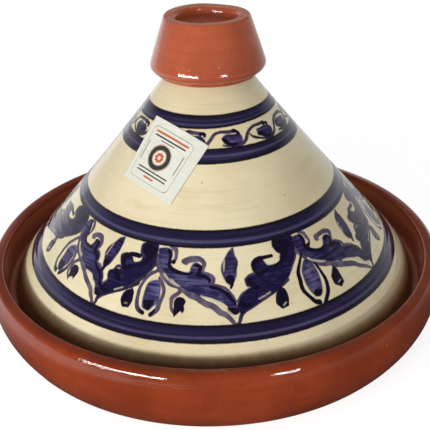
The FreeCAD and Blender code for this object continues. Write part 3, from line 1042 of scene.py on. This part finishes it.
def terracotta_material():
    """Red-brown clay under a clear glaze, with a bare foot and a basin painted lighter inside as painted
    light.
    """
    nodes = Nodes(bpy.data.materials.new("terracotta_glazed"))
    glazed = clay_colour(nodes, (0.31, 0.050, 0.015), (0.21, 0.032, 0.010))
    # Painted light: the basin's inside walls are made lighter, for light falling into them.
    glazed = nodes.mix(nodes.times(nodes.attribute("painted_light_inside"), 0.7), glazed, (0.60, 0.17, 0.09))
    black = nodes.ramp(nodes.noise(16, 5), 0.70, 0.76, 0, 0.55)
    glazed = nodes.mix(black, glazed, (0.03, 0.015, 0.012))
    bare_grain = nodes.noise(0.9, 4)
    bare = nodes.mix(nodes.ramp(bare_grain, 0.35, 0.7), (0.36, 0.13, 0.065), (0.52, 0.23, 0.13))
    clay = nodes.attribute("clay")
    colour = nodes.mix(clay, glazed, bare)
    height = nodes.total(clay_height(nodes), nodes.times(clay, bare_grain, 1.5))
    coat = nodes.math("SUBTRACT", 1.0, clay)
    smear = nodes.ramp(nodes.lines(14, 4, 0.3), 0.35, 0.7, 0.03, 0.12)
    return nodes.finish(colour, nodes.ramp(clay, 0, 1, 0.45, 0.85), height, coat, smear)


def knob_material():
    """Brighter terracotta under a clear glaze that is thin on the rim; the well is painted lighter as
    painted light and its glaze is rougher.
    """
    nodes = Nodes(bpy.data.materials.new("knob_terracotta"))
    colour = clay_colour(nodes, (0.48, 0.105, 0.047), (0.36, 0.078, 0.036))
    rim = nodes.attribute("rim")
    rim_grain = nodes.ramp(nodes.lines(1.6, 4, 0.5), 0.3, 0.7, 0.35, 0.95)
    colour = nodes.mix(nodes.times(rim, rim_grain), colour, (0.62, 0.25, 0.15))
    painted_light_well = nodes.attribute("painted_light_well")
    # Painted light: the well is made lighter, for light reaching into it.
    colour = nodes.mix(nodes.times(painted_light_well, 0.9), colour, (0.85, 0.32, 0.18))
    height = nodes.total(clay_height(nodes), nodes.times(rim, nodes.noise(1.2, 3), 1.5))
    coat = nodes.math("SUBTRACT", 1.0, nodes.times(rim, 0.7))
    smear = nodes.ramp(nodes.noise(9, 4), 0.35, 0.7, 0.04, 0.13)
    smear = nodes.total(smear, nodes.times(painted_light_well, 0.25))
    return nodes.finish(colour, nodes.ramp(rim, 0, 1, 0.42, 0.6), height, coat, smear)


def cream_colour(nodes):
    """Cream glaze: mottled, lined by the wheel, specked, and brown then near black towards the lower edge:
    partly thinner glaze, partly painted shade of the gap under the dish's rim.
    """
    lines = nodes.lines(1.1, 4, 0.02)
    cloud = nodes.noise(55, 3)
    colour = nodes.mix(nodes.ramp(cloud, 0.3, 0.7), (0.74, 0.63, 0.395), (0.85, 0.75, 0.50))
    colour = nodes.mix(nodes.ramp(lines, 0.5, 0.75, 0, 0.22), colour, (0.50, 0.40, 0.22))
    stain = nodes.ramp(nodes.lines(17, 5, 0.35), 0.56, 0.74, 0, 0.36)
    colour = nodes.mix(stain, colour, (0.62, 0.46, 0.25))
    colour = nodes.mix(nodes.times(nodes.specks(7, 0.2, 0.08), 0.45), colour, (0.30, 0.2, 0.11))
    edge = nodes.total(nodes.attribute("edge"), nodes.times(nodes.noise(5, 3), 1.6), -0.8)
    # Brown towards the lower edge: thinner glaze and painted shade of the gap.
    colour = nodes.mix(nodes.ramp(edge, -3.5, 2.5), colour, (0.30, 0.20, 0.10))
    # Near black lower still: painted shade deep in the gap under the dish's rim.
    return nodes.mix(nodes.ramp(edge, 1.5, 6), colour, (0.11, 0.05, 0.024))


def painted_colour(nodes, ground):
    """Cobalt brushwork over the cream, from the distances to the strokes: streaky washes, thin violet
    strokes that turn black where they are thick, dark pools and banded rings."""
    tremble = nodes.total(nodes.times(nodes.noise(2.2, 3), 0.5), -0.25)

    def cover(layer, soft=0.28):
        return nodes.ramp(nodes.total(nodes.attribute(layer), tremble), -soft, soft, 1, 0)

    streaks = nodes.lines(1.3, 3, 0.07)
    pools = nodes.noise(7, 3)
    depth = nodes.total(nodes.attribute("tone"), nodes.ramp(streaks, 0.3, 0.7, -0.26, 0.22),
                        nodes.ramp(pools, 0.3, 0.7, -0.2, 0.2))
    wash = nodes.steps(depth, [(0.0, (0.19, 0.175, 0.29)), (0.35, (0.094, 0.085, 0.185)),
                               (0.65, (0.036, 0.029, 0.098)), (1.0, (0.013, 0.009, 0.043))])
    colour = nodes.mix(cover("wash"), ground, wash)
    fringe = nodes.ramp(nodes.absolute(nodes.attribute("wash")), 0.1, 0.8, 0.45, 0)
    colour = nodes.mix(fringe, colour, (0.06, 0.045, 0.09), "DARKEN")
    ink = nodes.total(nodes.attribute("ink"), nodes.ramp(pools, 0.3, 0.7, -0.14, 0.14))
    line = nodes.steps(ink, [(0.0, (0.24, 0.19, 0.24)), (0.45, (0.095, 0.072, 0.120)),
                             (0.75, (0.034, 0.026, 0.052)), (1.0, (0.012, 0.009, 0.019))])
    colour = nodes.mix(cover("line"), colour, line, "DARKEN")
    colour = nodes.mix(cover("pool"), colour, (0.009, 0.006, 0.020), "DARKEN")
    thin = nodes.mix(0.4, ground, (0.3, 0.28, 0.34))
    colour = nodes.mix(nodes.times(cover("bare", 0.35), 0.85), colour, thin)
    return nodes.mix(cover("band", 0.4), colour, band_colour(nodes))


def band_colour(nodes):
    """A band's cobalt: black edges where the brush pressed, navy between, and a pale violet line that is
    partly thin paint and partly a painted sheen of the glaze.
    """
    light = nodes.attribute("light")
    hairs = nodes.lines(1.0, 3, 0.012)
    broad = nodes.lines(3.2, 2, 0.03)
    middle = nodes.ramp(nodes.absolute(nodes.attribute("across")), 0.25, 0.9, 1, 0)
    middle = nodes.times(middle, nodes.ramp(broad, 0.35, 0.6, 0.45, 1.0))
    colour = nodes.mix(middle, (0.011, 0.008, 0.016), (0.024, 0.018, 0.068))
    fine = nodes.times(nodes.ramp(hairs, 0.52, 0.68), middle, 0.55)
    # The pale line: partly thin paint, partly a painted sheen.
    line = nodes.ramp(nodes.absolute(nodes.attribute("hair")), 0.04, 0.27, 1, 0)
    broken = nodes.total(broad, nodes.times(hairs, 0.5))
    line = nodes.times(line, light, nodes.ramp(broken, 0.6, 0.95, 0.35, 1.0))
    return nodes.mix(nodes.largest(fine, line), colour, (0.098, 0.085, 0.170))


def cream_material():
    """Cream glaze with cobalt brushwork outside, clear-glazed terracotta inside."""
    nodes = Nodes(bpy.data.materials.new("cream_glaze_painted"))
    painted = painted_colour(nodes, cream_colour(nodes))
    clay = nodes.attribute("clay")
    inside = clay_colour(nodes, (0.42, 0.12, 0.05), (0.30, 0.075, 0.03))
    colour = nodes.mix(clay, painted, inside)
    lines = nodes.lines(1.2, 3, 0.02)
    peel = nodes.noise(3.2, 2)
    broad = nodes.lines(7, 2, 0.05)
    height = nodes.total(nodes.times(lines, 0.35), nodes.times(peel, 0.5), nodes.times(broad, 1.4))
    smear = nodes.ramp(nodes.noise(18, 4), 0.35, 0.7, 0.05, 0.14)
    return nodes.finish(colour, 0.45, height, 1.0, smear)


def label_material():
    """Semi-matt white paper with plain print."""
    nodes = Nodes(bpy.data.materials.new("label_paper"))
    fibre = nodes.noise(0.7, 4)
    colour = nodes.mix(nodes.ramp(fibre, 0.3, 0.7), (0.74, 0.75, 0.64), (0.80, 0.80, 0.71))
    inks = {"grey": (0.07, 0.07, 0.065), "dark": (0.03, 0.027, 0.024), "red": (0.62, 0.13, 0.04)}
    for name, ink in inks.items():
        print_gap = nodes.total(nodes.attribute(name), nodes.times(nodes.noise(0.8, 2), 0.12))
        colour = nodes.mix(nodes.ramp(print_gap, -0.02, 0.14, 0.98, 0), colour, ink)
    height = nodes.total(nodes.times(fibre, 0.25), nodes.times(nodes.noise(9, 3), 1.4))
    return nodes.finish(colour, 0.5, height, 0.12, 0.3, specular=0.3)


# ---- stage

WORLD_SOFT = 0.40
POT_MIDDLE = (0, 0, 0.08)
# What the glaze mirrors: (from, to, brightness at from, brightness at to) along Y and along Z.
WORLD_DEPTH = (-0.2, 0.85, 0.10, 0.8)
WORLD_RISE = (0.26, 0.47, 1.0, 0.22)


def make_floor():
    """Plain floor: pale to the camera, greyer as the light that it throws back on the pot, and to rays
    mirrored off the glaze dark but glowing behind and to the sides, a painted reflection source.
    """
    mesh = bpy.data.meshes.new("floor")
    mesh.from_pydata([(-3, -3, 0), (3, -3, 0), (3, 3, 0), (-3, 3, 0)], [], [(0, 1, 2, 3)])
    floor = bpy.data.objects.new("floor", mesh)
    bpy.context.scene.collection.objects.link(floor)
    nodes = Nodes(bpy.data.materials.new("floor_paint"))
    path = nodes.add("LightPath").outputs
    tone = nodes.mix(path["Is Glossy Ray"], (0.58, 0.57, 0.56), (0.10, 0.10, 0.10))
    tone = nodes.mix(path["Is Camera Ray"], tone, (0.45, 0.45, 0.45))
    # Painted reflection source: the floor glows behind and to the sides only for rays mirrored off the
    # glaze.
    behind = nodes.ramp(nodes.axis(1), -0.05, 0.4, 0, 0.7)
    left = nodes.ramp(nodes.axis(0), -0.28, -0.12, 1.1, 0)
    right = nodes.ramp(nodes.axis(0), 0.15, 0.45, 0, 0.3)
    reflected_glow = nodes.times(path["Is Glossy Ray"], nodes.largest(behind, left, right))
    surface = nodes.add("BsdfPrincipled", {
        "Base Color": tone,
        "Roughness": 0.9,
        "Specular IOR Level": 0,
        "Emission Color": rgba((1, 1, 1)),
        "Emission Strength": nodes.total(nodes.times(path["Is Camera Ray"], 0.8), reflected_glow),
    })
    nodes.add("OutputMaterial", {0: surface.outputs[0]})
    mesh.materials.append(nodes.owner)


def make_world():
    """White to the camera, dim as a light; glaze mirrors it dark in front and above, bright behind."""
    world = bpy.data.worlds.new("studio")
    bpy.context.scene.world = world
    nodes = Nodes(world, "Generated")
    depth = nodes.ramp(nodes.axis(1), *WORLD_DEPTH, "LINEAR")
    rise = nodes.ramp(nodes.axis(2), *WORLD_RISE, "LINEAR")
    path = nodes.add("LightPath").outputs
    even = nodes.ramp(path["Is Glossy Ray"], 0, 1, WORLD_SOFT, 0)
    light = nodes.total(even, nodes.times(path["Is Glossy Ray"], depth, rise))
    strength = nodes.largest(light, path["Is Camera Ray"])
    background = nodes.add("Background", {"Color": rgba((1, 1, 1)), "Strength": strength})
    nodes.add("OutputWorld", {0: background.outputs[0]})


def area_light(name, place, size, power):
    """Soft rectangular light aimed at the pot."""
    data = bpy.data.lights.new(name, "AREA")
    data.shape = "RECTANGLE"
    data.size, data.size_y = size
    data.energy = power
    light = bpy.data.objects.new(name, data)
    bpy.context.scene.collection.objects.link(light)
    aim = Vector(POT_MIDDLE) - Vector(place)
    light.matrix_world = Matrix.Translation(place) @ aim.to_track_quat("-Z", "Y").to_matrix().to_4x4()


def around(turn, rise, distance):
    """A place seen from the pot at a turn (degrees) from the front and a rise above the horizon."""
    turn, rise = math.radians(turn), math.radians(rise)
    flat = distance * math.cos(rise)
    return (flat * math.sin(turn), -flat * math.cos(turn), POT_MIDDLE[2] + distance * math.sin(rise))


def make_lights():
    """A wide low key from the left front and a small low fill from the right front."""
    area_light("key", around(-42, 10, 1.7), (1.15, 0.16), 20)
    area_light("fill", around(30, 10, 1.9), (0.34, 0.08), 6.5)


def make_camera():
    """Camera at the height of a standing viewer's hand, looking down a little."""
    data = bpy.data.cameras.new("view")
    data.sensor_width = 36
    data.lens = 68.65
    camera = bpy.data.objects.new("view", data)
    bpy.context.scene.collection.objects.link(camera)
    aim = Matrix.Rotation(math.radians(-0.252), 4, "Z") @ Matrix.Rotation(math.radians(61.70), 4, "X")
    camera.matrix_world = Matrix.Translation((-0.00049, -0.48771, 0.32125)) @ aim
    camera.matrix_world = camera.matrix_world @ Matrix.Rotation(math.radians(-1.611), 4, "Z")
    bpy.context.scene.camera = camera


# ---- the pot


def place_piece(piece, material, node, body):
    """Gives a piece its material and its body, and hides the CAD node it stands for."""
    piece.data.materials.append(material)
    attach(piece, body)
    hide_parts(node)


def main():
    place_piece(make_dish(), terracotta_material(), "dish", "dish")
    place_piece(make_lid(), cream_material(), "lid_cone", "lid")
    place_piece(make_knob(), knob_material(), "lid_knob", "lid")
    place_piece(make_label(), label_material(), "paper_label", "lid")
    make_floor()
    make_world()
    make_lights()
    make_camera()
    bpy.context.scene.view_settings.view_transform = "Standard"


main()
